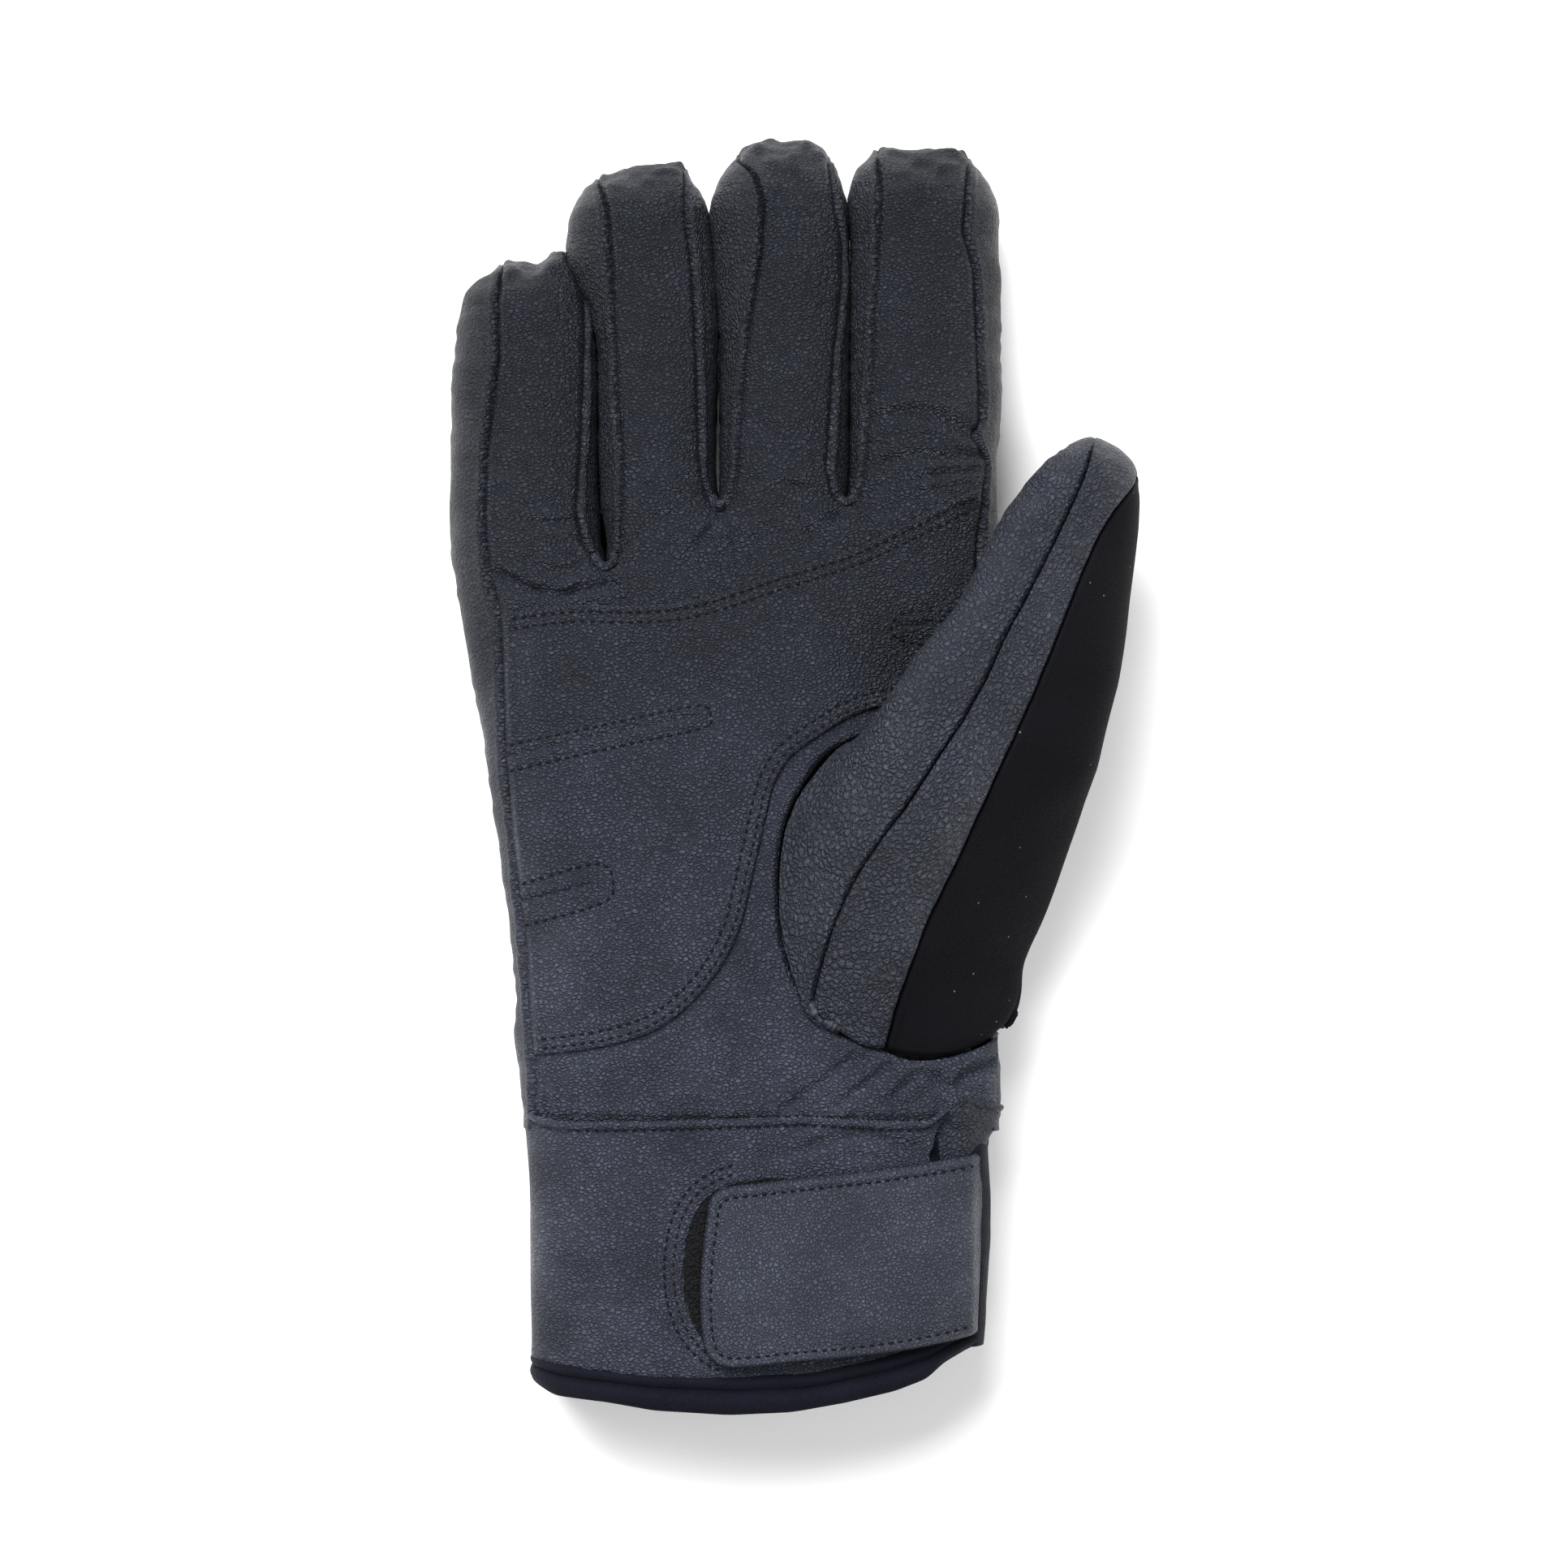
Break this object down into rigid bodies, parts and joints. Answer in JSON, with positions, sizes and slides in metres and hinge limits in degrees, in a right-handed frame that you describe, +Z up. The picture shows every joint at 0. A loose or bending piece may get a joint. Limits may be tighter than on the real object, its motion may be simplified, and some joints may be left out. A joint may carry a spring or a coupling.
{
  "type": "ski glove",
  "caption": "Right-hand leather ski glove with box-cut fingers, a set-in thumb, a reinforced palm, a short cuff and a hook-and-loop wrist strap.",
  "frame": {"origin": "centre of the glove's outline, on the surface that its back rests on", "axes": "+Z up out of the palm, +Y from the cuff to the fingertips, +X towards the thumb"},
  "size_m": [0.1462, 0.27, 0.0505],
  "materials": {
    "leather": "fine pebbled grain, semi-matte",
    "strap_leather": "fine smooth grain, semi-matte",
    "stretch": "black brushed stretch knit, matte",
    "softshell": "dark woven softshell, matte",
    "insulation": "synthetic wadding with a waterproof film on its outer face",
    "lining": "brushed fleece",
    "binding": "ribbed elastic binding tape",
    "elastic": "woven elastic",
    "loop_pile": "looped pile of a hook-and-loop fastener",
    "hook_tape": "moulded hooks of a hook-and-loop fastener"
  },
  "bodies": {
    "hand": {"back_panel": "softshell", "cuff_back_panel": "softshell", "cuff_front_panel": "leather", "cuff_gusset": "softshell", "cuff_lining": "lining", "cuff_outer_side": "leather", "hand_insulation": "insulation", "hand_lining": "lining", "hem_binding": "binding", "index_side_panel": "leather", "loop_patch": "loop_pile", "outer_side_panel": "leather", "palm_panel": "leather", "palm_patch": "leather", "strap_root": "strap_leather", "thumb_base_front": "leather", "thumb_base_insulation": "insulation", "thumb_base_lining": "lining", "thumb_base_stretch": "stretch", "thumb_base_strip": "leather", "thumb_side_panel": "leather", "wrist_elastic": "elastic", "wrist_side_panel": "leather"},
    "index_finger": {"index_back_panel": "softshell", "index_front_panel": "leather", "index_inner_side": "leather", "index_insulation": "insulation", "index_lining": "lining", "index_outer_fourchette": "leather"},
    "middle_finger": {"middle_back_panel": "softshell", "middle_front_panel": "leather", "middle_inner_fourchette": "leather", "middle_insulation": "insulation", "middle_lining": "lining", "middle_outer_fourchette": "leather"},
    "ring_finger": {"ring_back_panel": "softshell", "ring_front_panel": "leather", "ring_inner_fourchette": "leather", "ring_insulation": "insulation", "ring_lining": "lining", "ring_outer_fourchette": "leather"},
    "little_finger": {"little_back_panel": "softshell", "little_front_panel": "leather", "little_inner_fourchette": "leather", "little_insulation": "insulation", "little_lining": "lining", "little_outer_side": "leather"},
    "thumb": {"thumb_front_panel": "leather", "thumb_inner_panel": "leather", "thumb_insulation": "insulation", "thumb_lining": "lining", "thumb_stretch_panel": "stretch", "thumb_top_strip": "leather"},
    "strap": {"strap_backing": "lining", "strap_hook_tape": "hook_tape", "strap_leather": "strap_leather"}
  },
  "joints": [
    {"name": "index_bend", "type": "hinge", "parent": "hand", "child": "index_finger", "pos_m": [0.0273, 0.059, 0.0316], "axis": [1, 0, 0], "range_deg": [0, 70]},
    {"name": "middle_bend", "type": "hinge", "parent": "hand", "child": "middle_finger", "pos_m": [-0.0037, 0.059, 0.0316], "axis": [1, 0, 0], "range_deg": [0, 70]},
    {"name": "ring_bend", "type": "hinge", "parent": "hand", "child": "ring_finger", "pos_m": [-0.0302, 0.057, 0.0316], "axis": [1, 0, 0], "range_deg": [0, 70]},
    {"name": "little_bend", "type": "hinge", "parent": "hand", "child": "little_finger", "pos_m": [-0.05755, 0.046, 0.0316], "axis": [1, 0, 0], "range_deg": [0, 70]},
    {"name": "thumb_bend", "type": "hinge", "parent": "hand", "child": "thumb", "pos_m": [0.043, 0.0083, 0.0516], "axis": [0.9352, -0.3541, 0], "range_deg": [0, 45]},
    {"name": "strap_open", "type": "hinge", "parent": "hand", "child": "strap", "pos_m": [0.0412, -0.103, 0.024], "axis": [0, 1, 0], "range_deg": [0, 120]}
  ]
}
